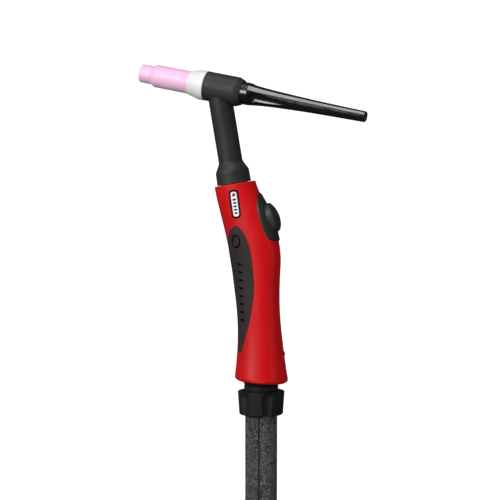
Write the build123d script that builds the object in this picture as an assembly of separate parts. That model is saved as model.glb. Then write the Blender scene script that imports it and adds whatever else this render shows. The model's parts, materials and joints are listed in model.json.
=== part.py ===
from build123d import *
import os
from math import cos, sin, tan, radians, pi, sqrt

# A hand-held TIG torch, in millimetres. +Z is up along the grip and +X is the trigger's side.
# The torch is symmetric about the XZ plane, apart from the label. The origin is the centre of the grip.

# ---------------------------------------------------------------- driving dimensions
HEAD_CENTRE = (-35.2, 0, 155.9)   # where the head's axis crosses the neck's axis
HEAD_DROP = 10.0                  # the head's axis falls this many degrees towards the back cap
HEAD_ANGLE = 70.0                 # between the back cap and the neck

NOZZLE_TIP = -65.4                # places along the head's axis, from its centre, + towards the cap
NOZZLE_END = -19.0
RING_FRONT = -23.5
HEAD_FRONT = -9.7
HEAD_REAR = 20.5
CAP_SEAT = 14.7
CAP_TIP = 121.4
NOZZLE_R = 8.85
NOZZLE_TIP_R = 7.15
NOZZLE_BORE_R = 4.75
COLLET_BODY_R = 6.4
ELECTRODE_BORE_R = 1.25
HEAD_R = 11.45
CORE_R = 8.2
CAP_R = 8.75
CAP_STUB_R = 6.0

NECK_R = 9.3                      # places along the neck's axis are measured down from the head's centre
COLLAR_R = 13.2
NECK_SHOULDER = 58.0
COLLAR_TOP = 65.0
HANDLE_TOP = 75.0
SPIGOT_R = 10.5
SPIGOT_END = 86.0
TUBE_R = 4.5
TUBE_END = 126.0

WALL = 3.0                        # handle wall
# The handle's cross-sections are ellipses: height, centre X, half width along X, half width along Y
HANDLE_SECTIONS = [
    (-84, 0.2, 22.6, 22.6),
    (-72, 0.1, 21.2, 21.0),
    (-60, -0.2, 19.6, 19.0),
    (-44, -0.7, 18.0, 16.6),
    (-24, -1.8, 17.0, 15.0),
    (-4, -3.2, 17.6, 14.8),
    (16, -4.2, 19.3, 15.3),
    (34, -6.1, 20.6, 15.6),
    (50, -9.8, 20.7, 15.4),
    (64, -14.7, 19.6, 15.0),
    (76, -19.6, 17.5, 14.7),
    (88, -22.6, 16.5, 14.5),
    (100, -24.8, 15.9, 14.3),
]
HANDLE_BOTTOM = -71.0
BOTTOM_TILT = 4.0                 # the bottom face is lower on the trigger's side
CAVITY_BOTTOM = -52.0

TRIGGER_AT = (8.0, 0, 57.0)       # centre of the button's seat on the handle's surface
TRIGGER_RISE = 22.0               # the button faces this many degrees above +X
BUTTON_HALF = (7.4, 11.6)
BUTTON_DROP = 0.7                 # the button sits this far below the middle of its seat
BUTTON_PROUD = 5.5
BUTTON_BACK = -8.2                # the back of the button's flange
TRIGGER_TRAVEL = 1.6
CARRIER_TOP = BUTTON_BACK - TRIGGER_TRAVEL - 0.2

BALL_Z = -63.5
BALL_R = 16.3
NUT_TOP = -78.7
NUT_BOTTOM = -97.0
NUT_TOP_R = 18.2
NUT_BOTTOM_R = 17.0
TAIL_THREAD_R = 14.0
COVER_TOP = -88.6
RING_BOTTOM = -93.0               # the clamp ring's lower face

CABLE_D = 25.0                    # the leather cover's outside diameter
COIL_R = (122.5, 147.5)           # centrelines of the inner and outer turns
TORCH_AT = 56.6                   # where the torch hangs over the outer turn, in degrees round the coil
COIL_TOP_Z = -325.0               # centreline of the top layer
COIL_LAYERS = 2
PLUG_R = 16.0
BOOT_END = 30.0                   # places along the plug, from the boot's rear
PLUG_FACE = 58.0
PIN_R = 6.5
PIN_LENGTH = 24.0
CONTROL_D = 6.0
CONTROL_R = 7.0                   # the small plug's radius
CONTROL_AT = (-78.1, 97.1)        # the small plug's place from the rear of the large one

RUN_GAP = 0.05                    # running fit, on the radius
LOOSE = 0.3

os.makedirs("parts", exist_ok=True)


# ---------------------------------------------------------------- axes and planes
def direction(angle):
    """A unit vector in the XZ plane, at an angle above +X."""
    return (cos(radians(angle)), 0, sin(radians(angle)))


HEAD = Plane(origin=HEAD_CENTRE, x_dir=(0, 1, 0), z_dir=direction(-HEAD_DROP))
NECK = Plane(origin=HEAD_CENTRE, x_dir=(0, 1, 0), z_dir=direction(-HEAD_DROP - HEAD_ANGLE))
TRIGGER = Plane(origin=TRIGGER_AT, x_dir=(0, 1, 0), z_dir=direction(TRIGGER_RISE))
CABLE_R = CABLE_D / 2
FLOOR_Z = COIL_TOP_Z - (COIL_LAYERS - 1) * CABLE_D - CABLE_R
COIL_CENTRE = (-COIL_R[1] * cos(radians(TORCH_AT)), COIL_R[1] * sin(radians(TORCH_AT)))


# ---------------------------------------------------------------- helpers
def turned(plane, *corners):
    """A solid of revolution about a plane's normal. A corner is (place along it, radius, rounding)."""
    points = [(corner[1], 0, corner[0]) for corner in corners]
    rounding = [corner[2] if len(corner) > 2 else 0 for corner in corners]
    outline = FilletPolyline(*points, radius=rounding, close=True)
    return plane * revolve(make_face(outline.edges()), Axis.Z)


def rod(plane, start, end, radius):
    """A plain cylinder along a plane's normal."""
    return turned(plane, (start, 0), (start, radius), (end, radius), (end, 0))


def handle_form(inset):
    """The handle's outer form, smaller all round by an inset and longer than the handle at both ends."""
    sections = []
    for height, centre, half_x, half_y in HANDLE_SECTIONS:
        sections.append(Pos(centre, 0, height) * Rot(0, 0, 180) * Ellipse(half_x - inset, half_y - inset))
    return loft(sections)


def handle_trim(top, bottom):
    """A block that keeps the handle between a place on the neck's axis and a tilted bottom face."""
    reach = 400
    upper = NECK * Pos(0, 0, top + reach / 2) * Box(reach, reach, reach)
    lower = Pos(0, 0, bottom) * Rot(0, BOTTOM_TILT, 0) * Pos(0, 0, reach / 2) * Box(reach, reach, reach)
    return upper & lower


def skin(inner, outer, prism):
    """The part of a layer of the handle's surface that lies inside a prism."""
    return (FORMS[outer] - FORMS[inner]) & prism


def half_space(side):
    """A block on one side of the XZ plane: side is -1 or 1."""
    reach = 400
    return Pos(0, side * reach / 2, 0) * Box(reach, reach, reach)


def mirrored(shape):
    return mirror(shape, about=Plane.XZ)


def write(name, shape):
    shape.label = name
    export_step(shape, f"parts/{name}.step")


# ---------------------------------------------------------------- head: nozzle, ring, collet
def gas_nozzle():
    step_front = NOZZLE_TIP + 9.6
    step_rear = step_front + 3.6
    pocket = -45.0
    return turned(
        HEAD,
        (NOZZLE_TIP, NOZZLE_BORE_R, 0.6),
        (NOZZLE_TIP, NOZZLE_TIP_R, 1.0),
        (step_front, NOZZLE_TIP_R, 1.2),
        (step_rear, NOZZLE_R, 1.6),
        (NOZZLE_END, NOZZLE_R, 0.4),
        (NOZZLE_END, COLLET_BODY_R + RUN_GAP),
        (pocket, COLLET_BODY_R + RUN_GAP),
        (pocket - 2.0, NOZZLE_BORE_R),
    )


def insulator_ring():
    step = NOZZLE_END + LOOSE
    return turned(
        HEAD,
        (RING_FRONT, NOZZLE_R + 0.1),
        (RING_FRONT, 9.35, 0.3),
        (RING_FRONT + 9.0, HEAD_R + 0.15, 4.0),
        (HEAD_FRONT - 0.1, HEAD_R + 0.15, 0.4),
        (HEAD_FRONT - 0.1, COLLET_BODY_R + 0.2),
        (step, COLLET_BODY_R + 0.2),
        (step, NOZZLE_R + 0.1),
    )


def collet_body():
    front = -43.0
    thread_end = -2.0
    body = turned(
        HEAD,
        (front, 1.45),
        (front, 4.2, 0.5),
        (front + 4.0, COLLET_BODY_R, 0.5),
        (HEAD_FRONT, COLLET_BODY_R),
        (HEAD_FRONT, 5.0),
        (thread_end, 5.0, 0.3),
        (thread_end, 3.3),
        (front + 7.0, 3.3),
        (front + 4.5, 1.45),
    )
    gas_hole_r = 0.9
    for turn in (0, 90, 180, 270):
        outward = HEAD * Pos(0, 0, front + 9.5) * Rot(0, 0, turn) * Rot(0, 90, 0)
        body -= outward * Pos(0, 0, 5) * Cylinder(gas_hole_r, 8)
    return body


def collet():
    front = -37.0
    rear = 5.5
    body = turned(
        HEAD,
        (front, ELECTRODE_BORE_R),
        (front, 2.0, 0.3),
        (front + 2.5, 3.1, 0.5),
        (rear, 3.1, 0.3),
        (rear, ELECTRODE_BORE_R),
    )
    slit_length = 14.0
    slit_width = 0.4
    return body - HEAD * Pos(0, 0, front + slit_length / 2) * Box(slit_width, 10, slit_length + 0.01)


# ---------------------------------------------------------------- head: core, rubber, cap
def head_core():
    rear = 13.0
    boss_end = 14.0
    barrel = rod(HEAD, HEAD_FRONT + 0.2, rear, CORE_R)
    boss = rod(NECK, 0, boss_end, 6.5)
    bore = rod(HEAD, HEAD_FRONT, -1.9, 5.0 + RUN_GAP) + rod(HEAD, -2.0, 6.1, 4.2)
    cap_thread = rod(HEAD, 6.0, rear + 1, CAP_STUB_R + RUN_GAP)
    gas_way = rod(NECK, 4.0, boss_end + 1, 3.0)
    return barrel + boss - bore - cap_thread - gas_way


def neck_tube():
    return turned(NECK, (14.1, 3.0), (14.1, TUBE_R), (TUBE_END, TUBE_R), (TUBE_END, 3.0))


def head_insulation():
    """One rubber moulding: barrel over the core, neck, collar, and a spigot that the handle grips."""
    barrel = turned(
        HEAD,
        (HEAD_FRONT, 0),
        (HEAD_FRONT, HEAD_R, 0.4),
        (HEAD_REAR - 4.2, HEAD_R, 4.0),
        (HEAD_REAR, CAP_R + 0.9, 0.8),
        (HEAD_REAR, 0),
    )
    neck = turned(
        NECK,
        (0, 0),
        (0, NECK_R),
        (NECK_SHOULDER, NECK_R, 5.0),
        (COLLAR_TOP, COLLAR_R - 0.2, 3.0),
        (HANDLE_TOP - 0.2, COLLAR_R + 0.1, 0.3),
        (HANDLE_TOP - 0.2, SPIGOT_R),
        (SPIGOT_END, SPIGOT_R, 0.5),
        (SPIGOT_END, 0),
    )
    core_room = rod(HEAD, HEAD_FRONT - 1, 13.1, CORE_R + 0.05)
    boss_room = rod(NECK, 0, 14.05, 6.55)
    tube_room = rod(NECK, 14, SPIGOT_END + 1, TUBE_R + 0.05)
    cap_room = rod(HEAD, 13, HEAD_REAR + 1, CAP_R + 0.1)
    return barrel + neck - core_room - boss_room - tube_room - cap_room


def back_cap():
    """A long tapered cap with three scooped flutes behind its base, and a blind bore for the electrode."""
    base_end = 26.0
    outline = Spline(
        (CAP_R, 0, base_end),
        (7.45, 0, base_end + 10),
        (6.2, 0, base_end + 28),
        (5.15, 0, base_end + 53),
        (4.25, 0, CAP_TIP - 1.0),
        tangents=[(-0.16, 0, 1), (-0.022, 0, 1)],
    )
    tip_round = ThreePointArc(outline @ 1, (3.95, 0, CAP_TIP - 0.28), (3.25, 0, CAP_TIP))
    rest = Polyline(
        tip_round @ 1,
        (0, 0, CAP_TIP),
        (0, 0, CAP_SEAT - 5.7),
        (CAP_STUB_R, 0, CAP_SEAT - 5.7),
        (CAP_STUB_R, 0, CAP_SEAT),
        (CAP_R, 0, CAP_SEAT),
        (CAP_R, 0, base_end),
    )
    cap = HEAD * revolve(make_face(outline.edges() + tip_round.edges() + rest.edges()), Axis.Z)
    scoop_r = 5.6
    scoop_start = base_end + 0.8
    scoop_end = base_end + 60
    lean = 0.6
    first_flute = -48.0
    for turn in (0, 120, 240):
        track = HEAD * Rot(0, 0, first_flute + turn) * Pos(11.0, 0, scoop_start + scoop_r) * Rot(0, lean, 0)
        scoop = Pos(0, 0, scoop_end / 2) * Cylinder(scoop_r, scoop_end) + Sphere(scoop_r)
        cap -= track * scoop
    return cap - rod(HEAD, 0, CAP_TIP - 8, 1.8)


def cap_o_ring():
    section = 0.75
    return HEAD * Pos(0, 0, CAP_SEAT - section - 0.05) * Torus(CAP_STUB_R + section + 0.35, section)


# ---------------------------------------------------------------- handle
def inlay_prism(margin):
    """The side outline of the soft grip: a wide round top and a tapering blade with a flat cut end."""
    centre_x = -12.0
    front = [(-14.9, 50.6), (-20.4, 47.7), (-23.4, 41.5), (-21.6, 16), (-16.7, -24), (-15.2, -47.6)]
    back = [(-11.5, -47.2), (-4.2, -22), (-0.7, 6), (-2.6, 25), (-8.4, 44.2), (-14.9, 50.6)]

    wide = 1 + margin / 11
    tall = 1 + margin / 49

    def grown(corners):
        return [(centre_x + (x - centre_x) * wide, 0, z * tall) for x, z in corners]

    foot = Line(grown(front)[-1], grown(back)[0])
    outline = make_face(Spline(*grown(front)).edges() + foot.edges() + Spline(*grown(back)).edges())
    return extrude(outline, amount=40, dir=(0, -1, 0))


def label_prism(length, width):
    tilt = -8.6
    centre = Pos(-16.3, 0, 67.3) * Rot(0, tilt, 0) * Rot(90, 0, 0)
    outline = centre * RectangleRounded(width, length, width * 0.38)
    return extrude(outline, amount=40, dir=(0, -1, 0))


def bezel_prism(margin):
    """A lens-shaped outline about the button, blunter at its lower end."""
    corners = [(0, 20.4), (7.3, 15.4), (10.7, 4.0), (10.8, -8.0), (8.2, -16.6), (0, -19.4)]
    right = [(x * (1 + margin / 10.8), y * (1 + margin / 20)) for x, y in corners]
    left = [(-x, y) for x, y in reversed(right[1:-1])]
    outline = make_face(Spline(*right, *left, periodic=True))
    return TRIGGER * Pos(0, 0, -9) * extrude(outline, amount=19)


SCREWS = [(-27.0, 57.0), (8.8, 26.0), (9.2, -8.0), (14.6, -50.0), (-16.6, -54.0)]
SCREW_SEAT = 5.5


def across(x, z, start, end, radius):
    """A cylinder along Y, at a place on the handle's side."""
    return Pos(x, (start + end) / 2, z) * Rot(90, 0, 0) * Cylinder(radius, end - start)


def handle_whole():
    """Both halves as one solid: the wall, screw bosses, ball socket, and openings for what it carries."""
    body = FORMS["outside"] & handle_trim(HANDLE_TOP, HANDLE_BOTTOM)
    rims = body.edges().filter_by(GeomType.LINE, reverse=True).sort_by(Axis.Z)
    body = fillet(rims[0:1], 2.6)
    body = fillet(body.edges().sort_by(Axis.Z)[-1:], 0.9)
    cavity = FORMS["cavity"] & handle_trim(HANDLE_TOP + 4, CAVITY_BOTTOM)
    for x, z in SCREWS:
        cavity -= across(x, z, -30, 30, 3.3)
    body -= cavity
    body -= rod(NECK, HANDLE_TOP - 5, HANDLE_TOP + 6, SPIGOT_R + 0.1)
    body -= Pos(0, 0, BALL_Z) * Sphere(BALL_R + RUN_GAP)
    body -= turned(Plane.XY, (-80, 0), (-80, 17.6), (HANDLE_BOTTOM + 1.4, 14.9), (HANDLE_BOTTOM + 1.4, 0))
    body -= bezel_prism(0.15)
    body -= skin("inlay_seat", "far", inlay_prism(0.1))
    body -= mirrored(skin("inlay_seat", "far", inlay_prism(0.1)))
    body -= skin("label_seat", "far", label_prism(22.2, 7.9))
    return body


def handle_shell(whole, side):
    shell = whole & half_space(side)
    for x, z in SCREWS:
        shell -= across(x, z, -SCREW_SEAT - 1, SCREW_SEAT + 1, 1.55)
        shell -= across(x, z, SCREW_SEAT, 40, 3.0)
    return shell


def handle_screws():
    """Five identical screws, driven from the right side of the handle."""
    head_r = 2.7
    shank_r = 1.5
    screws = []
    for x, z in SCREWS:
        profile = turned(
            Plane(origin=(x, 0, z), x_dir=(1, 0, 0), z_dir=(0, 1, 0)),
            (-SCREW_SEAT, 0),
            (-SCREW_SEAT, 0.5),
            (-SCREW_SEAT + 1.5, shank_r),
            (SCREW_SEAT + 0.05, shank_r),
            (SCREW_SEAT + 0.05, head_r),
            (SCREW_SEAT + 2.2, head_r, 0.8),
            (SCREW_SEAT + 2.2, 0),
        )
        slot = Pos(x, SCREW_SEAT + 2.0, z) * Box(0.7, 1.4, 3.4)
        slot += Pos(x, SCREW_SEAT + 2.0, z) * Box(3.4, 1.4, 0.7)
        screws.append(profile - slot)
    return Compound(children=screws)


# ---------------------------------------------------------------- trigger and switch
def trigger_bezel():
    ring = skin("bezel_back", "bezel_face", bezel_prism(0))
    window = extrude(Ellipse(BUTTON_HALF[0] + 0.25, BUTTON_HALF[1] + 0.25), amount=25)
    return ring - TRIGGER * Pos(0, -BUTTON_DROP, -10) * window


def trigger_button():
    """An oval dome on a hollow stem, with a flange behind the bezel and a post that meets the switch."""
    dome_r = 24.0
    stem = Pos(0, -BUTTON_DROP, BUTTON_BACK) * extrude(Ellipse(*BUTTON_HALF), amount=16)
    stem &= Pos(0, -BUTTON_DROP, BUTTON_PROUD - dome_r) * Sphere(dome_r)
    stem = fillet(stem.faces().sort_by(Axis.Z)[-1].edges(), 1.0)
    rim = Ellipse(BUTTON_HALF[0] + 0.9, BUTTON_HALF[1] + 0.9)
    flange = Pos(0, -BUTTON_DROP, BUTTON_BACK) * extrude(rim, amount=1.3)
    pocket = Pos(0, 0, -4.9) * Cylinder(5.2, 7.0)
    post = Pos(0, 0, -4.8) * Cylinder(1.6, 7.2)
    return TRIGGER * (stem + flange - pocket + post)


def trigger_spring():
    wire_r = 0.3
    start = CARRIER_TOP + wire_r + 0.1
    turns = 4
    height = 7.6
    path = Helix(pitch=height / turns, height=height, radius=4.4)
    wire = sweep(Plane(origin=path @ 0, z_dir=path % 0) * Circle(wire_r), path=path, is_frenet=True)
    return TRIGGER * Pos(0, 0, start) * wire


def switch_carrier():
    """A plate across the handle, under the button, with a hole for the plunger."""
    thickness = 2.0
    plate = TRIGGER * Pos(0, -1, CARRIER_TOP - thickness / 2) * Box(30, 26, thickness)
    plate -= rod(TRIGGER, CARRIER_TOP - 3, CARRIER_TOP + 1, 1.5)
    plate &= FORMS["inside_fit"]
    for x, z in SCREWS:
        plate -= across(x, z, -30, 30, 3.6)
    return plate


def microswitch():
    """A subminiature switch, with a bore for its plunger and two tags below."""
    case_size = (5.8, 12.8, 6.5)
    top = CARRIER_TOP - 2.1
    case = Pos(0, 0, top - case_size[2] / 2) * Box(*case_size)
    for side in (-1, 1):
        case += Pos(0, side * 3.5, top - case_size[2] - 0.5) * Box(2.4, 0.6, 1.2)
    return TRIGGER * case - rod(TRIGGER, top - 3.6, top + 1, 1.15)


def switch_plunger():
    return turned(TRIGGER, (-13.6, 0), (-13.6, 1.05), (-8.7, 1.05, 0.3), (-8.7, 0))


# ---------------------------------------------------------------- inside the handle
def power_union_nut():
    """A hexagon union that joins the neck tube to the power cable."""
    top = TUBE_END - 8
    length = 18
    body = NECK * Pos(0, 0, top) * extrude(RegularPolygon(7.0, 6), amount=length)
    return body - rod(NECK, top - 1, top + length + 1, TUBE_R + 0.05)


def tube_along(points, radii, radius):
    """A round solid along straight runs joined by tangent arcs."""
    path = FilletPolyline(*points, radius=radii)
    disc = Plane(origin=path @ 0, z_dir=path % 0) * Circle(radius)
    return sweep(disc, path=path.wire())


def bend_radii(points):
    """The arc at each inner point: 0.45 of its shorter run over the tangent of half its turn."""
    radii = []
    for before, here, after in zip(points, points[1:], points[2:]):
        run_in = Vector(here) - Vector(before)
        run_out = Vector(after) - Vector(here)
        turn = run_in.get_angle(run_out)
        shorter = min(run_in.length, run_out.length)
        radii.append(0.45 * shorter / tan(radians(turn / 2)))
    return radii


def cord_tube(name, points, diameter):
    """A free cord's plain tube, with its bends and its volume printed."""
    radii = bend_radii(points)
    tube = tube_along(points, radii, diameter / 2)
    path_length = FilletPolyline(*points, radius=radii).length
    bends = [round(r / diameter, 1) for r in radii]
    ratio = tube.volume / (pi * diameter**2 / 4 * path_length)
    print(f"{name}: length {path_length:.0f} mm, bends in diameters {bends}, volume ratio {ratio:.4f}")
    return tube


def power_cable():
    """From the neck tube's end along the neck's axis, then straight down where that meets the Z axis."""
    start = NECK.from_local_coords((0, 0, TUBE_END + 0.3))
    meet = start + NECK.z_dir * (-start.X / NECK.z_dir.X)
    return tube_along([start, meet, (0, 0, COVER_TOP + 0.1)], [90], TUBE_R)


def control_lead():
    points = [(-6.2, 0, 40.0), (1.5, 0, 0), (6.9, 0, -40), (6.9, 0, COVER_TOP + 0.1)]
    return tube_along(points, [60, 60], 2.0)


# ---------------------------------------------------------------- ball joint and cable nut
def swivel_ball():
    """Ball, cone, ring and threaded tail in one turned piece, with a wide bore for the cables."""
    top = BALL_Z + 9.5
    cone = BALL_Z - 9.2
    ring_top = -74.2
    bore_r = 9.6
    ball = Pos(0, 0, BALL_Z) * Sphere(BALL_R) & turned(Plane.XY, (cone, 0), (cone, 30), (top, 30), (top, 0))
    tail = turned(
        Plane.XY,
        (cone + 1.0, 0),
        (cone + 1.0, sqrt(BALL_R**2 - 8.2**2)),
        (ring_top, 12.7),
        (ring_top, 13.3, 0.4),
        (NUT_TOP + 0.7, 13.3, 0.4),
        (NUT_TOP + 0.7, 12.6),
        (NUT_TOP - 0.6, 12.6),
        (NUT_TOP - 0.6, TAIL_THREAD_R),
        (COVER_TOP + 0.4, TAIL_THREAD_R),
        (COVER_TOP + 0.4, 0),
    )
    return ball + tail - rod(Plane.XY, COVER_TOP - 1, top + 1, bore_r)


def clamp_ring():
    """A split ring that the nut presses on the leather cover."""
    outer = 14.9
    ring = turned(
        Plane.XY,
        (COVER_TOP - 0.7, CABLE_R + 0.15),
        (COVER_TOP - 0.7, outer, 0.5),
        (RING_BOTTOM, outer, 0.8),
        (RING_BOTTOM, CABLE_R + 0.15),
    )
    return ring - Pos(0, 14, -91) * Box(2.0, 6, 10)


def cable_nut():
    """A slightly tapered union nut, with a plain rim and six wide lobes."""
    rim_end = NUT_TOP - 4.8
    lobes = 6
    body = turned(
        Plane.XY,
        (NUT_TOP, TAIL_THREAD_R + RUN_GAP),
        (NUT_TOP, NUT_TOP_R, 0.7),
        (NUT_BOTTOM, NUT_BOTTOM_R, 1.2),
        (NUT_BOTTOM, CABLE_R + 0.4, 0.5),
        (RING_BOTTOM - 0.4, CABLE_R + 0.4),
        (RING_BOTTOM - 0.4, 15.2),
        (COVER_TOP - 0.4, 15.2),
        (COVER_TOP - 0.4, TAIL_THREAD_R + RUN_GAP),
    )
    flute_r = 7.0
    flute = Cylinder(flute_r, 30) + Pos(0, 0, 15) * Sphere(flute_r)
    first = 5.0
    for turn in range(lobes):
        body -= Rot(0, 0, 360 / lobes * turn + first) * Pos(NUT_BOTTOM_R + 5.9, 0, rim_end - 15) * flute
    return body


# ---------------------------------------------------------------- hose package
def on_coil(angle, radius, height):
    """A point on a circle about the coil's centre. Angles run from +X, the way the cable is wound."""
    return (
        COIL_CENTRE[0] + radius * cos(radians(angle)),
        COIL_CENTRE[1] - radius * sin(radians(angle)),
        height,
    )


def cable_cover():
    """The straight hanging stretch and the sweep down into the coil's top layer."""
    outer = COIL_R[1]
    points = [
        (0, 0, COVER_TOP),
        (0, 0, -176.0),
        on_coil(TORCH_AT + 17, outer + 0.5, -252.0),
        on_coil(TORCH_AT + 45, outer + 2.5, -302.5),
        on_coil(TORCH_AT + 78, outer + 3.5, COIL_TOP_Z),
        on_coil(TORCH_AT + 112, outer + 1.5, COIL_TOP_Z),
    ]
    return cord_tube("cable_cover", points, CABLE_D)


def cable_coil():
    """The outer form of the coil: two turns wide and two layers high."""
    inner = COIL_R[0] - CABLE_R
    outer = COIL_R[1] + CABLE_R
    top = COIL_TOP_Z + CABLE_R
    centre = Plane(origin=(COIL_CENTRE[0], COIL_CENTRE[1], 0))
    return turned(centre, (FLOOR_Z, inner, 9), (FLOOR_Z, outer, 9), (top, outer, 9), (top, inner, 9))


TAIL_R = COIL_R[1] + CABLE_D       # the last stretch lies against the outside of the coil
PLUG_REAR = COIL_CENTRE[0] - 88.0
PLUG_Y = COIL_CENTRE[1] - TAIL_R
PLUG_Z = FLOOR_Z + PLUG_R
PLUG = Plane(origin=(PLUG_REAR, PLUG_Y, PLUG_Z), x_dir=(0, 1, 0), z_dir=(-1, 0, 0))
CONTROL_Z = FLOOR_Z + CONTROL_R
CONTROL = Plane(
    origin=(PLUG_REAR + CONTROL_AT[0], PLUG_Y + CONTROL_AT[1], CONTROL_Z),
    x_dir=(0, 0, 1),
    z_dir=(-cos(radians(74.5)), sin(radians(74.5)), 0),
)


def cable_tail():
    """The last stretch, off the coil's bottom layer and up a little to the plug's boot."""
    low = FLOOR_Z + CABLE_R
    points = [
        on_coil(26, 148, low),
        on_coil(52, 156, low),
        on_coil(78, 168, low),
        on_coil(100, 178, low + 1),
        (PLUG_REAR - 5, PLUG_Y, PLUG_Z),
    ]
    return cord_tube("cable_tail", points, CABLE_D)


def plug_boot():
    """A rubber boot, from the leather cover to the plug's body."""
    return turned(PLUG, (0, 0), (0, 13.6, 0.8), (12, 15.4, 3), (BOOT_END, 15.4, 2), (BOOT_END, 0))


def plug_body():
    """The insulating sleeve, grooved lengthways for the hand."""
    start = BOOT_END + 0.2
    body = turned(
        PLUG,
        (start, 0),
        (start, PLUG_R, 1.0),
        (PLUG_FACE - 2, PLUG_R, 1.5),
        (PLUG_FACE - 2, 7.6),
        (PLUG_FACE, 7.6),
        (PLUG_FACE, 0),
    )
    grooves = 16
    groove = Pos(PLUG_R + 0.5, 0, (start + PLUG_FACE) / 2 - 1) * Cylinder(1.1, 20)
    for turn in range(grooves):
        body -= PLUG * Rot(0, 0, 360 / grooves * turn) * groove
    return body


def plug_pin():
    """The brass contact pin, with the gas hole through it."""
    gas_r = 1.8
    start = PLUG_FACE + 0.2
    end = start + PIN_LENGTH
    return turned(PLUG, (start, gas_r), (start, PIN_R), (end, PIN_R, 1.0), (end, gas_r))


def control_tail():
    """The trigger's own lead at the machine end, lying on the floor between the plug and the coil."""
    floor = FLOOR_Z + CONTROL_D / 2
    points = [
        (PLUG_REAR - 19.7, PLUG_Y + 11.5, floor + 6),
        (PLUG_REAR - 36.8, PLUG_Y + 23.9, floor + 3),
        (PLUG_REAR - 55.4, PLUG_Y + 46.4, floor),
        (PLUG_REAR - 69.5, PLUG_Y + 73.4, floor),
        (PLUG_REAR + CONTROL_AT[0], PLUG_Y + CONTROL_AT[1], CONTROL_Z),
    ]
    return cord_tube("control_tail", points, CONTROL_D)


def control_plug():
    """The small plug: a strain relief, a sleeve, and a mouth around its pins."""
    return turned(
        CONTROL,
        (0.1, 0),
        (0.1, 3.8, 0.5),
        (7, 4.6, 1.5),
        (10, CONTROL_R, 1.0),
        (30, CONTROL_R, 0.6),
        (30, 5.6),
        (24, 5.6),
        (24, 0),
    )


def control_pins():
    """Five contact pins in the plug's mouth."""
    pins = []
    for turn in range(5):
        pins.append(CONTROL * Rot(0, 0, 60 * turn) * Pos(3.2, 0, 27.1) * Cylinder(0.5, 5.8))
    return Compound(children=pins)


# ---------------------------------------------------------------- build
FORMS = {
    "far": handle_form(-6.0),
    "bezel_face": handle_form(-1.0),
    "inlay_face": handle_form(-0.35),
    "label_face": handle_form(-0.3),
    "outside": handle_form(0),
    "plate_face": handle_form(0.05),
    "label_back": handle_form(0.9),
    "label_seat": handle_form(1.0),
    "inlay_back": handle_form(1.5),
    "inlay_seat": handle_form(1.6),
    "bezel_back": handle_form(1.9),
    "cavity": handle_form(WALL),
    "inside_fit": handle_form(WALL + 0.15),
}

write("gas_nozzle", gas_nozzle())
write("insulator_ring", insulator_ring())
write("collet_body", collet_body())
write("collet", collet())
write("head_core", head_core())
write("neck_tube", neck_tube())
write("head_insulation", head_insulation())
write("back_cap", back_cap())
write("cap_o_ring", cap_o_ring())

handle = handle_whole()
write("handle_shell_left", handle_shell(handle, -1))
write("handle_shell_right", handle_shell(handle, 1))
write("handle_screws", handle_screws())
inlay = skin("inlay_back", "inlay_face", inlay_prism(0))
write("grip_inlay_left", inlay)
write("grip_inlay_right", mirrored(inlay))
label_window = label_prism(19.4, 5.1)
write("label_frame", skin("label_back", "label_face", label_prism(22.0, 7.7)) - label_window)
write("label_plate", skin("label_back", "plate_face", label_prism(19.3, 5.0)))

write("trigger_bezel", trigger_bezel())
write("trigger_button", trigger_button())
write("trigger_spring", trigger_spring())
write("switch_carrier", switch_carrier())
write("microswitch", microswitch())
write("switch_plunger", switch_plunger())

write("power_union_nut", power_union_nut())
write("power_cable", power_cable())
write("control_lead", control_lead())
write("swivel_ball", swivel_ball())
write("clamp_ring", clamp_ring())
write("cable_nut", cable_nut())

write("cable_cover", cable_cover())
write("cable_coil", cable_coil())
write("cable_tail", cable_tail())
write("plug_boot", plug_boot())
write("plug_body", plug_body())
write("plug_pin", plug_pin())
write("control_tail", control_tail())
write("control_plug", control_plug())
write("control_pins", control_pins())
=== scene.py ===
import json
from math import ceil, cos, pi, radians, sin

import bpy
from mathutils import Matrix, Vector
from mathutils.bvhtree import BVHTree


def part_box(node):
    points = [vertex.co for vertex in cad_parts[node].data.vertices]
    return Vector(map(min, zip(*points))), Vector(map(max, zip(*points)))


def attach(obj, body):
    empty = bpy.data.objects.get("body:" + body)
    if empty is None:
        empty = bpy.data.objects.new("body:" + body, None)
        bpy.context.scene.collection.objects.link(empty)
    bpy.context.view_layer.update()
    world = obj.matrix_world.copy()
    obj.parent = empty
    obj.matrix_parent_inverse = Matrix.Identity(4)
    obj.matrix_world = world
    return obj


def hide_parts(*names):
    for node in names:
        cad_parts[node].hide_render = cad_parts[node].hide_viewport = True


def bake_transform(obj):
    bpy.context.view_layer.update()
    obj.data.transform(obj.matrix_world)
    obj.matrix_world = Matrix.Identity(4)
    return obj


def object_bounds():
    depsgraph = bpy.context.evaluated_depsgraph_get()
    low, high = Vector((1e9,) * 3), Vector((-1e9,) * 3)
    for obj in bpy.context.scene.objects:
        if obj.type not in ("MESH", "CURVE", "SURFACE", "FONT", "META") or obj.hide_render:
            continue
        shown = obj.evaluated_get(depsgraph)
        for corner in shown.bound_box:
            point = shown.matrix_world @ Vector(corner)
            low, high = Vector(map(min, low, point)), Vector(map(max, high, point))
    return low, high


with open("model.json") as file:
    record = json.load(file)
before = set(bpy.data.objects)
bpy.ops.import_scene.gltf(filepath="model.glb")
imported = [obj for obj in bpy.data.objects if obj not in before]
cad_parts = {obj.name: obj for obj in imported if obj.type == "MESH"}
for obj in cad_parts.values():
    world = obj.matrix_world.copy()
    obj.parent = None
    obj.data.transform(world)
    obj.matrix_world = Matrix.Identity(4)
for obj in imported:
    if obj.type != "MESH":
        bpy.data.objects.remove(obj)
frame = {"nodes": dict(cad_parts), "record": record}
CAD_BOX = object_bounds()
NODES = frame["nodes"]
MM = 0.001
UP = Vector((0, 0, 1))

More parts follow.
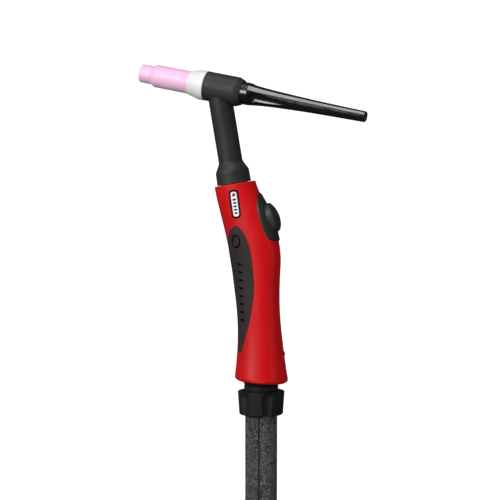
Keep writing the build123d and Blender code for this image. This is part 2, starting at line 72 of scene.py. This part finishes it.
# ---------------------------------------------------------------- places on the torch
HEAD_CENTRE = Vector((-35.2, 0, 155.9)) * MM
FLOOR_Z = CAD_BOX[0][2]


# ---------------------------------------------------------------- camera
CAMERA_TURN = 20.0                # degrees from the torch's side towards the trigger
CAMERA_RISE = 5.0
CAMERA_AWAY = 1.8
VIEW_WIDTH = 0.3876               # what the picture spans at the torch
LOOK_RIGHT = -0.0087
LOOK_UP = 0.0310


def make_camera():
    turn, rise = radians(CAMERA_TURN), radians(CAMERA_RISE)
    back = Vector((sin(turn) * cos(rise), -cos(turn) * cos(rise), sin(rise)))
    right = Vector((cos(turn), sin(turn), 0))
    up = back.cross(right)
    data = bpy.data.cameras.new("camera")
    data.sensor_width = 36.0
    data.lens = data.sensor_width * CAMERA_AWAY / VIEW_WIDTH
    camera = bpy.data.objects.new("camera", data)
    camera.matrix_world = Matrix((right, up, back)).transposed().to_4x4()
    camera.location = LOOK_RIGHT * right + LOOK_UP * up + CAMERA_AWAY * back
    bpy.context.collection.objects.link(camera)
    bpy.context.scene.camera = camera
    return back, right


TO_CAMERA, TO_RIGHT = make_camera()
bpy.context.scene.view_settings.view_transform = "Standard"


# ---------------------------------------------------------------- mesh helpers
def add_mesh(name, verts, faces, smooth=True, uv=None):
    """A mesh object from lists of points and faces. uv holds one pair for each face corner."""
    data = bpy.data.meshes.new(name)
    data.from_pydata([tuple(v) for v in verts], [], faces)
    if uv:
        layer = data.uv_layers.new(name="UVMap")
        for corner, pair in zip(layer.data, uv):
            corner.uv = pair
    data.update()
    if smooth:
        data.shade_smooth()
    obj = bpy.data.objects.new(name, data)
    bpy.context.collection.objects.link(obj)
    return obj


def spline_line(points):
    """Points read from the NURBS spline that has these control points."""
    data = bpy.data.curves.new("route", "CURVE")
    data.dimensions = "3D"
    spline = data.splines.new("NURBS")
    spline.points.add(len(points) - 1)
    for knot, place in zip(spline.points, points):
        knot.co = (*place, 1.0)
    spline.order_u = 3
    spline.use_endpoint_u = True
    spline.resolution_u = 10
    route = bpy.data.objects.new("route", data)
    mesh = bpy.data.meshes.new_from_object(route)
    line = [vert.co.copy() for vert in mesh.vertices]
    bpy.data.meshes.remove(mesh)
    bpy.data.objects.remove(route)
    bpy.data.curves.remove(data)
    return line


def evenly(line, step):
    """Points along a line, a fixed step apart, with both of its ends."""
    lengths = [0.0]
    for a, b in zip(line, line[1:]):
        lengths.append(lengths[-1] + (b - a).length)
    count = ceil(lengths[-1] / step)
    spaced = []
    span = 0
    for i in range(count + 1):
        at = lengths[-1] * i / count
        while span < len(line) - 2 and lengths[span + 1] < at:
            span += 1
        part = (at - lengths[span]) / max(lengths[span + 1] - lengths[span], 1e-9)
        spaced.append(line[span].lerp(line[span + 1], min(part, 1.0)))
    return spaced, lengths[-1]


def frames_along(line, first_side):
    """A side and an up direction at each point, turned as little as the line allows."""
    frames = []
    side = first_side
    for i, place in enumerate(line):
        ahead = line[min(i + 1, len(line) - 1)] - line[max(i - 1, 0)]
        ahead.normalize()
        side = (side - ahead * side.dot(ahead)).normalized()
        frames.append((place, side, ahead.cross(side)))
    return frames


def tube(name, line, first_side, radius_at, around=40, step=0.003):
    """A closed tube along a line. radius_at(distance, angle) gives its surface. Its UV is in metres."""
    spaced, length = evenly(line, step)
    verts, faces, uv = [], [], []
    rows = len(spaced)
    width = 2 * pi * radius_at(length / 2, pi)
    for i, (place, side, other) in enumerate(frames_along(spaced, first_side)):
        distance = length * i / (rows - 1)
        for j in range(around):
            angle = 2 * pi * j / around
            radius = radius_at(distance, angle)
            verts.append(place + radius * (cos(angle) * side + sin(angle) * other))
    for i in range(rows - 1):
        for j in range(around):
            k = (j + 1) % around
            faces.append((i * around + j, i * around + k, (i + 1) * around + k, (i + 1) * around + j))
            low, high = length * i / (rows - 1), length * (i + 1) / (rows - 1)
            left, right = width * j / around, width * (j + 1) / around
            uv += [(left, low), (right, low), (right, high), (left, high)]
    for start in (0, (rows - 1) * around):
        cap = tuple(range(start, start + around))
        faces.append(cap if start else cap[::-1])
        uv += [(0, 0)] * around
    return add_mesh(name, verts, faces, uv=uv)


# ---------------------------------------------------------------- the hose package's route
CABLE_D = 0.025
CABLE_R = CABLE_D / 2
COVER_TOP = -0.0886
COIL_R = (0.1225, 0.1475)
TORCH_AT = 56.6
COIL_TOP_Z = -0.325
COIL_LOW_Z = COIL_TOP_Z - CABLE_D
COIL_CENTRE = (-COIL_R[1] * cos(radians(TORCH_AT)), COIL_R[1] * sin(radians(TORCH_AT)))
TAIL_R = COIL_R[1] + CABLE_D
PLUG_REAR = COIL_CENTRE[0] - 0.088
PLUG_Y = COIL_CENTRE[1] - TAIL_R
PLUG_Z = FLOOR_Z + 0.016


def on_coil(angle, radius, height):
    """A point on a circle about the coil's centre. Angles run from +X, the way the cable is wound."""
    return (
        COIL_CENTRE[0] + radius * cos(radians(angle)),
        COIL_CENTRE[1] - radius * sin(radians(angle)),
        height,
    )


def eased(angle, start, end):
    """From 0 to 1 between two angles, with a soft start and end."""
    part = min(max((angle - start) / (end - start), 0.0), 1.0)
    return part * part * (3 - 2 * part)


# Degrees round the coil, counted on from turn to turn, over which the cable changes place
TO_INNER = (420, 475)
TO_LOWER = (765, 812)
TO_OUTER = (1110, 1158)
OFF_COIL = (1470, 1518)
COIL_START = TORCH_AT + 104
COIL_END = 1520
COIL_STEP = 22.5


def coil_points(first, last):
    """The coil's turns: top outer, top inner, bottom inner, bottom outer, then off the coil."""
    stretch = 1 / cos(radians(COIL_STEP / 2))
    points = []
    angle = first
    while angle < last:
        radius = COIL_R[1]
        radius -= CABLE_D * eased(angle, *TO_INNER)
        radius += CABLE_D * eased(angle, *TO_OUTER)
        radius += CABLE_D * eased(angle, *OFF_COIL)
        height = COIL_TOP_Z - CABLE_D * eased(angle, *TO_LOWER)
        points.append(on_coil(angle, radius * stretch, height))
        angle += COIL_STEP
    return points


def cover_route():
    """The hanging stretch, the sweep into the coil, the coil, and the tail up to the plug's boot."""
    outer = COIL_R[1]
    hanging = [
        (0, 0, COVER_TOP),
        (0, 0, -0.150),
        (0, 0, -0.176),
        on_coil(TORCH_AT + 17, outer + 0.0005, -0.252),
        on_coil(TORCH_AT + 45, outer + 0.0025, -0.3025),
        on_coil(TORCH_AT + 78, outer + 0.0035, COIL_TOP_Z),
    ]
    turns = coil_points(COIL_START, COIL_END)
    tail = [on_coil(100, TAIL_R + 0.004, COIL_LOW_Z + 0.001), (PLUG_REAR - 0.005, PLUG_Y, PLUG_Z)]
    return hanging + turns + tail


SEAM_TURN = 8.8                   # the seam is this many degrees left of the line that faces the camera
SEAM_SIDE = Vector((sin(radians(CAMERA_TURN - SEAM_TURN)), -cos(radians(CAMERA_TURN - SEAM_TURN)), 0))
SEAM_HALF = radians(2.5)
SEAM_DEPTH = 0.0012
SEAM_SHADE = (0.0004, 0.0007)     # the leather is black up to the first distance from the seam
COVER_AROUND = 66
STITCH_PITCH = 0.0048
STITCH_HALF = 0.0021
STITCH_ROWS = 5
STITCH_SINK = 0.0002              # how far a stitch lies in the leather, and how much more at its ends
STITCH_BOW = 0.0003
THREAD_R = 0.00034
THREAD_SIDES = 6


def cover_radius(distance, angle):
    """The leather is round, with a groove at the seam. It is the same all along."""
    if min(angle, 2 * pi - angle) < SEAM_HALF:
        return CABLE_R - SEAM_DEPTH
    return CABLE_R


def make_cover(line):
    return tube("leather_cover", line, SEAM_SIDE, cover_radius, around=COVER_AROUND)


def stitch_verts(place, side, other):
    """Rings of points along one stitch, which is thinner at its ends."""
    ahead = side.cross(other)
    verts = []
    for k in range(STITCH_ROWS):
        across = 2 * k / (STITCH_ROWS - 1) - 1
        height = CABLE_R - STITCH_SINK - STITCH_BOW * across * across
        middle = place + side * height + other * STITCH_HALF * across
        radius = THREAD_R * (0.5 if abs(across) == 1 else 1.0)
        for j in range(THREAD_SIDES):
            angle = 2 * pi * j / THREAD_SIDES
            verts.append(middle + radius * (cos(angle) * side + sin(angle) * ahead))
    return verts


def stitch_faces(base):
    """The sides and two ends of the stitch whose points start at base."""
    faces = []
    for k in range(STITCH_ROWS - 1):
        low, high = base + k * THREAD_SIDES, base + (k + 1) * THREAD_SIDES
        for j in range(THREAD_SIDES):
            m = (j + 1) % THREAD_SIDES
            faces.append((low + j, low + m, high + m, high + j))
    last = base + (STITCH_ROWS - 1) * THREAD_SIDES
    faces.append(tuple(range(base, base + THREAD_SIDES)))
    faces.append(tuple(range(last, last + THREAD_SIDES))[::-1])
    return faces


def make_stitches(line):
    """Short thread stitches across the seam, all along the cover."""
    spaced, _ = evenly(line, STITCH_PITCH)
    verts, faces = [], []
    for place, side, other in frames_along(spaced, SEAM_SIDE)[1:-1]:
        faces += stitch_faces(len(verts))
        verts += stitch_verts(place, side, other)
    return add_mesh("seam_stitches", verts, faces)


CONTROL_D = 0.006
CONTROL_AROUND = 20


def control_radius(distance, angle):
    """The lead is plain and round."""
    return CONTROL_D / 2


def control_route():
    floor = FLOOR_Z + CONTROL_D / 2
    return [
        (PLUG_REAR - 0.0197, PLUG_Y + 0.0115, floor + 0.006),
        (PLUG_REAR - 0.0368, PLUG_Y + 0.0239, floor + 0.003),
        (PLUG_REAR - 0.0554, PLUG_Y + 0.0464, floor),
        (PLUG_REAR - 0.0695, PLUG_Y + 0.0734, floor),
        (PLUG_REAR - 0.0781, PLUG_Y + 0.0971, FLOOR_Z + 0.007),
    ]


cover_line = spline_line(cover_route())
cover = make_cover(cover_line)
stitches = make_stitches(cover_line)
control_line = spline_line(control_route())
control = tube("control_lead_tail", control_line, UP, control_radius, around=CONTROL_AROUND)


# ---------------------------------------------------------------- node materials
def linear(value):
    value /= 255
    return value / 12.92 if value <= 0.04045 else ((value + 0.055) / 1.055) ** 2.4


def colour(red, green, blue):
    return (linear(red), linear(green), linear(blue), 1.0)


class Surface:
    """A Principled material with short ways to add colour, roughness and bump detail."""

    def __init__(
        self, name, roughness, metallic=0.0, specular=0.5, coat=0.0, coat_roughness=0.1, by_uv=False
    ):
        self.material = bpy.data.materials.new(name)
        self.material.use_nodes = True
        self.nodes = self.material.node_tree.nodes
        self.links = self.material.node_tree.links
        self.shader = self.nodes["Principled BSDF"]
        self.shader.inputs["Roughness"].default_value = roughness
        self.shader.inputs["Metallic"].default_value = metallic
        self.shader.inputs["Specular IOR Level"].default_value = specular
        self.shader.inputs["Coat Weight"].default_value = coat
        self.shader.inputs["Coat Roughness"].default_value = coat_roughness
        coords = self.nodes.new("ShaderNodeTexCoord")
        self.coords = coords.outputs["UV" if by_uv else "Object"]
        self.height = None

    def node(self, kind, **settings):
        made = self.nodes.new("ShaderNode" + kind)
        for key, value in settings.items():
            setattr(made, key, value)
        return made

    def noise(self, scale, detail=3.0, roughness=0.5, distortion=0.0, stretch=None):
        made = self.node("TexNoise")
        made.inputs["Scale"].default_value = scale
        made.inputs["Detail"].default_value = detail
        made.inputs["Roughness"].default_value = roughness
        made.inputs["Distortion"].default_value = distortion
        self.links.new(self.placed(stretch), made.inputs["Vector"])
        return made.outputs["Fac"]

    def cells(self, scale, feature="DISTANCE_TO_EDGE", stretch=None):
        made = self.node("TexVoronoi", feature=feature)
        made.inputs["Scale"].default_value = scale
        self.links.new(self.placed(stretch), made.inputs["Vector"])
        return made.outputs["Distance"]

    def placed(self, stretch):
        if stretch is None:
            return self.coords
        mapping = self.node("Mapping")
        mapping.inputs["Scale"].default_value = stretch
        self.links.new(self.coords, mapping.inputs["Vector"])
        return mapping.outputs["Vector"]

    def ranged(self, value, from_low, from_high, to_low, to_high):
        made = self.node("MapRange")
        made.inputs["From Min"].default_value = from_low
        made.inputs["From Max"].default_value = from_high
        made.inputs["To Min"].default_value = to_low
        made.inputs["To Max"].default_value = to_high
        self.links.new(value, made.inputs["Value"])
        return made.outputs["Result"]

    def times(self, value, other):
        made = self.node("Math", operation="MULTIPLY")
        self.links.new(value, made.inputs[0])
        self.links.new(other, made.inputs[1])
        return made.outputs["Value"]

    def seam_distance(self):
        """Metres round the cover from its seam, which is where the UV starts and ends."""
        split = self.node("SeparateXYZ")
        made = self.node("Math", operation="PINGPONG")
        made.inputs[1].default_value = pi * CABLE_R
        self.links.new(self.coords, split.inputs["Vector"])
        self.links.new(split.outputs["X"], made.inputs[0])
        return made.outputs["Value"]

    def paint(self, value, low, dark, high, light):
        """The base colour goes from dark to light as the value goes from low to high."""
        ramp = self.node("ValToRGB")
        ramp.color_ramp.elements[0].position = low
        ramp.color_ramp.elements[0].color = dark
        ramp.color_ramp.elements[1].position = high
        ramp.color_ramp.elements[1].color = light
        self.links.new(value, ramp.inputs["Fac"])
        self.links.new(ramp.outputs["Color"], self.shader.inputs["Base Color"])

    def rough(self, value, low, high):
        self.links.new(self.ranged(value, 0.3, 0.7, low, high), self.shader.inputs["Roughness"])

    def bump(self, value, strength, distance):
        """Adds to the surface's relief. Later calls lie on top of earlier ones."""
        made = self.node("Bump")
        made.inputs["Strength"].default_value = strength
        made.inputs["Distance"].default_value = distance
        self.links.new(value, made.inputs["Height"])
        if self.height is not None:
            self.links.new(self.height, made.inputs["Normal"])
        self.height = made.outputs["Normal"]
        self.links.new(self.height, self.shader.inputs["Normal"])


def moulded(name, dark, light, roughness, grain=2600.0, relief=0.12, **extra):
    """Moulded plastic or rubber: soft cloudiness, a fine grain, and uneven gloss."""
    made = Surface(name, roughness, **extra)
    clouds = made.noise(38.0, detail=4.0)
    made.paint(clouds, 0.35, dark, 0.65, light)
    made.rough(made.noise(110.0), roughness - 0.05, roughness + 0.07)
    made.bump(made.noise(grain, detail=2.0), relief, 0.0002)
    return made.material


def turned_metal(name, dark, light, roughness, axis=(1, 1, 1)):
    """Bright machined metal, with fine tool marks and slight tarnish."""
    made = Surface(name, roughness, metallic=1.0)
    made.paint(made.noise(160.0, detail=5.0), 0.3, dark, 0.7, light)
    made.rough(made.noise(420.0), roughness - 0.06, roughness + 0.1)
    made.bump(made.noise(1800.0, detail=2.0, stretch=axis), 0.15, 0.00015)
    return made.material


def red_plastic():
    made = Surface("red_plastic", 0.4, specular=0.28)
    made.paint(made.noise(22.0, detail=3.0), 0.3, colour(190, 8, 14), 0.7, colour(200, 12, 18))
    made.rough(made.noise(90.0), 0.36, 0.46)
    made.bump(made.noise(2400.0, detail=2.0), 0.06, 0.0001)
    made.bump(made.noise(60.0, detail=1.0), 0.05, 0.0006)
    return made.material


def fired_ceramic():
    """Pink alumina: an even body colour, a few pale specks and a faint glaze."""
    made = Surface("pink_alumina", 0.42, specular=0.45, coat=0.15, coat_roughness=0.25)
    specks = made.noise(700.0, detail=5.0, roughness=0.7)
    made.paint(specks, 0.32, colour(240, 180, 216), 0.66, colour(246, 200, 231))
    made.rough(made.noise(300.0), 0.36, 0.5)
    made.bump(made.noise(2000.0, detail=3.0), 0.1, 0.00015)
    return made.material


def leather():
    """Black grained leather: wandering wrinkles over raised pebbles, with a painted highlight that makes the
    wrinkles' tops paler.
    """
    made = Surface("leather_cover", 0.5, specular=0.4, by_uv=True)
    wrinkle_relief_and_highlight = made.noise(600.0, detail=3.0, roughness=0.55, distortion=1.8, stretch=(1.0, 0.75, 1.0))
    pebbles = made.cells(620.0, stretch=(1.0, 0.8, 1.0))
    away_from_seam = made.ranged(made.seam_distance(), *SEAM_SHADE, 0.0, 1.0)
    # The wrinkle pattern is real relief, and it also sets the colour: its tops are painted pale grey as a
    # painted highlight on the black leather.
    made.paint(made.times(wrinkle_relief_and_highlight, away_from_seam), 0.42, colour(30, 30, 30), 0.6, colour(120, 120, 119))
    made.rough(made.noise(700.0, detail=2.0), 0.25, 0.6)
    made.bump(made.ranged(pebbles, 0.0, 0.25, 0.0, 1.0), 0.5, 0.0004)
    made.bump(wrinkle_relief_and_highlight, 1.0, 0.0022)
    return made.material


def thread():
    made = Surface("black_thread", 0.6)
    made.paint(made.noise(900.0), 0.3, colour(14, 14, 14), 0.7, colour(30, 30, 30))
    made.bump(made.noise(5000.0, stretch=(1.0, 1.0, 4.0)), 0.4, 0.0001)
    return made.material


DARK_RUBBER = (colour(38, 38, 38), colour(45, 45, 45))
BLACK_NYLON = (colour(27, 26, 27), colour(34, 32, 33))


def make_materials():
    """The material of each slot of the record."""
    brass = turned_metal("turned_brass", colour(170, 130, 60), colour(208, 172, 96), 0.28)
    return {
        "alumina": fired_ceramic(),
        "white_insulator": moulded(
            "white_insulator", colour(222, 223, 226), colour(232, 232, 234), 0.42,
        ),
        "copper": turned_metal("turned_copper", colour(176, 98, 62), colour(214, 138, 96), 0.3),
        "brass": brass,
        "plug_contact": brass,
        "head_rubber": moulded("head_rubber", *DARK_RUBBER, 0.5, grain=1500.0, relief=0.2, specular=0.3),
        "cap_phenolic": moulded(
            "cap_phenolic", colour(8, 8, 9), colour(12, 12, 13), 0.16,
            relief=0.004, coat=0.35, coat_roughness=0.06,
        ),
        "seal_rubber": moulded("seal_rubber", colour(18, 18, 18), colour(28, 28, 28), 0.45),
        "red_plastic": red_plastic(),
        "screw_steel": turned_metal("zinc_steel", colour(150, 150, 152), colour(186, 186, 188), 0.32),
        "grip_rubber": moulded(
            "grip_rubber", colour(42, 37, 37), colour(50, 44, 44), 0.62,
            grain=1700.0, relief=0.3, specular=0.25,
        ),
        "label_black": moulded(
            "label_black", colour(3, 3, 3), colour(7, 7, 7), 0.35, relief=0.02, specular=0.15,
        ),
        "label_white": moulded(
            "label_white", colour(236, 236, 238), colour(246, 246, 246), 0.3, relief=0.02,
        ),
        "trigger_plastic": moulded(
            "trigger_plastic", colour(34, 35, 34), colour(43, 44, 43), 0.45, relief=0.15, specular=0.3,
        ),
        "spring_steel": turned_metal("spring_steel", colour(160, 160, 165), colour(200, 200, 204), 0.25),
        "switch_plastic": moulded("switch_plastic", colour(30, 30, 33), colour(40, 40, 43), 0.4),
        "lead_jacket": moulded("lead_jacket", colour(26, 26, 26), colour(38, 38, 38), 0.5),
        "swivel_nylon": moulded(
            "swivel_nylon", colour(26, 26, 26), colour(34, 34, 34), 0.4, relief=0.1, specular=0.3,
        ),
        "nut_nylon": moulded("nut_nylon", *BLACK_NYLON, 0.5, grain=1300.0, relief=0.2, specular=0.25),
        "leather": leather(),
        "plug_rubber": moulded("plug_rubber", colour(30, 30, 30), colour(42, 42, 42), 0.55, relief=0.2),
    }


MATERIALS = make_materials()


def dress(obj, slot):
    """Gives an object the material of a slot, in place of whatever it has."""
    obj.data.materials.clear()
    obj.data.materials.append(MATERIALS[slot])


for part in frame["record"]["subparts"]:
    dress(NODES[part["node"]], part["material_slot"])

# ---------------------------------------------------------------- the cords, dressed and put in place of the CAD cords
dress(cover, "leather")
stitches.data.materials.append(thread())
dress(control, "lead_jacket")
COVER_NODES = ("cable_cover", "cable_coil", "cable_tail")
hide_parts(*COVER_NODES)
for piece in (cover, stitches):
    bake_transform(piece)
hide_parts("control_tail")
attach(control, "root")


# ---------------------------------------------------------------- raised marks on the moulded parts
SKIN_LIFT = 0.00003               # keeps a mark's edge just clear of the surface it is moulded on
RAY_START = 0.05                  # the rays that find that surface start this far out


def surface_of(node):
    data = NODES[node].data
    places = [vert.co for vert in data.vertices]
    return BVHTree.FromPolygons(places, [tuple(face.vertices) for face in data.polygons])


def raised(name, node, body, slot, toward, along, marks):
    """Low domes and rings moulded on a part.

    A mark is (place, half width, half length, inner share, height). It is a ring if it has an inner share.
    """
    tree = surface_of(node)
    toward = Vector(toward).normalized()
    along = (Vector(along) - toward * toward.dot(Vector(along))).normalized()
    across = along.cross(toward)
    around, rows = 24, 4
    verts, faces = [], []
    for place, half_width, half_length, inner, height in marks:
        base = len(verts)
        for row in range(rows + 1):
            share = row / rows
            reach = inner + (1 - inner) * share
            lift = height * (sin(pi * share) if inner else 1 - share * share)
            for j in range(around):
                angle = 2 * pi * j / around
                offset = across * half_width * cos(angle) + along * half_length * sin(angle)
                start = Vector(place) + offset * reach + toward * RAY_START
                hit, normal, _, _ = tree.ray_cast(start, -toward)
                verts.append(hit + normal * (lift + SKIN_LIFT))
        for row in range(rows):
            for j in range(around):
                k = (j + 1) % around
                low, high = base + row * around, base + (row + 1) * around
                faces.append((low + j, high + j, high + k, low + k))
    marks_piece = add_mesh(name, verts, faces)
    dress(marks_piece, slot)
    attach(marks_piece, body)
    return marks_piece


GRIP_BARS = 8
GRIP_BAR_PITCH = 0.0062
NECK_BARS = 4
NECK_BAR_PITCH = 0.0085
NECK_LEAN = radians(10)           # the neck leans this far from upright
STUD_PITCH = 0.0024
STUD_FIELD = (0.0052, 0.0090)     # half width and half length of the oval that holds the studs
LABEL_BARS = 5
LABEL_BAR_PITCH = 0.0026


def grip_marks():
    """A plain ring at the top of each soft grip, and short bars down its blade."""
    for side, node in ((-1, "grip_inlay_left"), (1, "grip_inlay_right")):
        marks = [((-0.0155, 0, 0.0385), 0.0040, 0.0054, 0.68, 0.0005)]
        for i in range(GRIP_BARS):
            place = (-0.0122 + 0.0002 * i, 0, 0.021 - GRIP_BAR_PITCH * i)
            marks.append((place, 0.0024, 0.0011, 0, 0.0003))
        suffix = node.split("_")[-1]
        raised("grip_marks_" + suffix, node, "root", "label_black", (0, side, 0), (0, 0, 1), marks)


def neck_marks():
    """Short raised bars down the side of the neck."""
    marks = []
    down_neck = Vector((sin(NECK_LEAN), 0, -cos(NECK_LEAN)))
    for i in range(NECK_BARS):
        down = 0.022 + NECK_BAR_PITCH * i
        place = HEAD_CENTRE + down_neck * down - Vector((0.001, 0, 0))
        marks.append((place, 0.0011, 0.0028, 0, 0.0002))
    raised("neck_marks", "head_insulation", "root", "head_rubber", (0, -1, 0), (0.17, 0, -1), marks)


def button_marks():
    """Rows of small round studs on the button's dome."""
    rise = radians(22)
    out = Vector((cos(rise), 0, sin(rise)))
    up = Vector((-sin(rise), 0, cos(rise)))
    seat = Vector((8, 0, 57)) * MM - 0.0007 * up
    marks = []
    for i in range(-4, 5):
        for j in range(-3, 4):
            right = (j + 0.5 * (i % 2)) * STUD_PITCH
            high = i * STUD_PITCH * 0.87
            if (right / STUD_FIELD[0]) ** 2 + (high / STUD_FIELD[1]) ** 2 < 1:
                marks.append((seat + up * high + Vector((0, right, 0)), 0.0007, 0.0007, 0, 0.00028))
    raised("button_studs", "trigger_button", "trigger", "trigger_plastic", out, up, marks)


def label_marks():
    """Plain bars and a small red dot printed on the label's plate."""
    low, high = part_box("label_plate")
    middle = (Vector(low) + Vector(high)) / 2
    tilt = Vector((sin(radians(8.6)), 0, -cos(radians(8.6))))
    bars = []
    for i in range(LABEL_BARS):
        place = middle + tilt * (LABEL_BAR_PITCH * i - 0.0034)
        bars.append((place, 0.0015, 0.00075, 0, 0.00008))
    raised("label_bars", "label_plate", "root", "label_black", (0, -1, 0), -tilt, bars)
    dot = [(middle - tilt * 0.0071, 0.0014, 0.0013, 0, 0.00008)]
    raised("label_square", "label_plate", "root", "red_plastic", (0, -1, 0), -tilt, dot)


grip_marks()
neck_marks()
button_marks()
label_marks()


# ---------------------------------------------------------------- stage and light
def make_stage():
    """A pale floor that curves up into a backdrop behind the torch."""
    near, far, rise = -3.0, 3.2, 3.6
    bend = 1.2
    profile = [(near, 0.0), (far - bend, 0.0)]
    steps = 12
    for i in range(1, steps + 1):
        angle = pi / 2 * i / steps
        profile.append((far - bend + bend * sin(angle), bend - bend * cos(angle)))
    profile.append((far, rise))
    half = 4.0
    away = -Vector((TO_CAMERA.x, TO_CAMERA.y, 0)).normalized()
    verts = []
    for distance, height in profile:
        for side in (-half, half):
            verts.append(away * distance + TO_RIGHT * side + Vector((0, 0, FLOOR_Z + height)))
    faces = [(2 * i, 2 * i + 1, 2 * i + 3, 2 * i + 2) for i in range(len(profile) - 1)]
    floor = add_mesh("floor", verts, faces)
    paper = Surface("white_paper", 0.9, specular=0.1)
    paper.paint(paper.noise(30.0), 0.3, (0.93, 0.93, 0.93, 1), 0.7, (0.95, 0.95, 0.95, 1))
    paper.shader.inputs["Emission Color"].default_value = (1, 1, 1, 1)
    paper.shader.inputs["Emission Strength"].default_value = 0.9
    floor.data.materials.append(paper.material)
    # The glowing paper stays out of the torch's light and gloss, which come from the world and lamps.
    floor.visible_diffuse = False
    floor.visible_glossy = False


def area_light(name, place, target, size, watts):
    data = bpy.data.lights.new(name, "AREA")
    data.shape = "RECTANGLE"
    data.size, data.size_y = size
    data.energy = watts
    light = bpy.data.objects.new(name, data)
    light.location = place
    aim = Vector(place) - Vector(target)
    light.rotation_euler = aim.to_track_quat("Z", "Y").to_euler()
    bpy.context.collection.objects.link(light)
    return light


def from_camera(right, up, near):
    """A place in metres to the right of, above and in front of the torch, as the camera sees it."""
    return tuple(TO_RIGHT * right + Vector((0, 0, up)) + TO_CAMERA * near)


def make_world():
    """A soft room: bright above and to the left, dim to the right and below."""
    world = bpy.data.worlds.new("studio")
    world.use_nodes = True
    nodes, links = world.node_tree.nodes, world.node_tree.links
    coords = nodes.new("ShaderNodeTexCoord")
    facing = nodes.new("ShaderNodeVectorMath")
    facing.operation = "DOT_PRODUCT"
    facing.inputs[1].default_value = (TO_RIGHT * -0.72 + TO_CAMERA * 0.45 + Vector((0, 0, 0.5))).normalized()
    level = nodes.new("ShaderNodeMapRange")
    level.inputs["From Min"].default_value = -0.7
    level.inputs["To Min"].default_value = 1.15
    level.inputs["To Max"].default_value = 2.7
    links.new(coords.outputs["Generated"], facing.inputs[0])
    links.new(facing.outputs["Value"], level.inputs["Value"])
    links.new(level.outputs["Result"], nodes["Background"].inputs["Strength"])
    bpy.context.scene.world = world


def make_lights():
    torch = (-0.01, 0, 0.03)
    area_light("key", from_camera(-1.2, 0.6, 1.1), torch, (0.8, 0.8), 20.0)
    area_light("top", from_camera(-0.2, 1.5, 0.5), torch, (0.4, 1.4), 12.0)
    for name, place, watts in (("low", (-0.6, -0.8, 1.0), 24.0), ("fill", (1.3, 0.0, 0.9), 9.0)):
        light = area_light(name, from_camera(*place), torch, (0.9, 0.9), watts)
        light.visible_glossy = False


make_stage()
make_world()
make_lights()
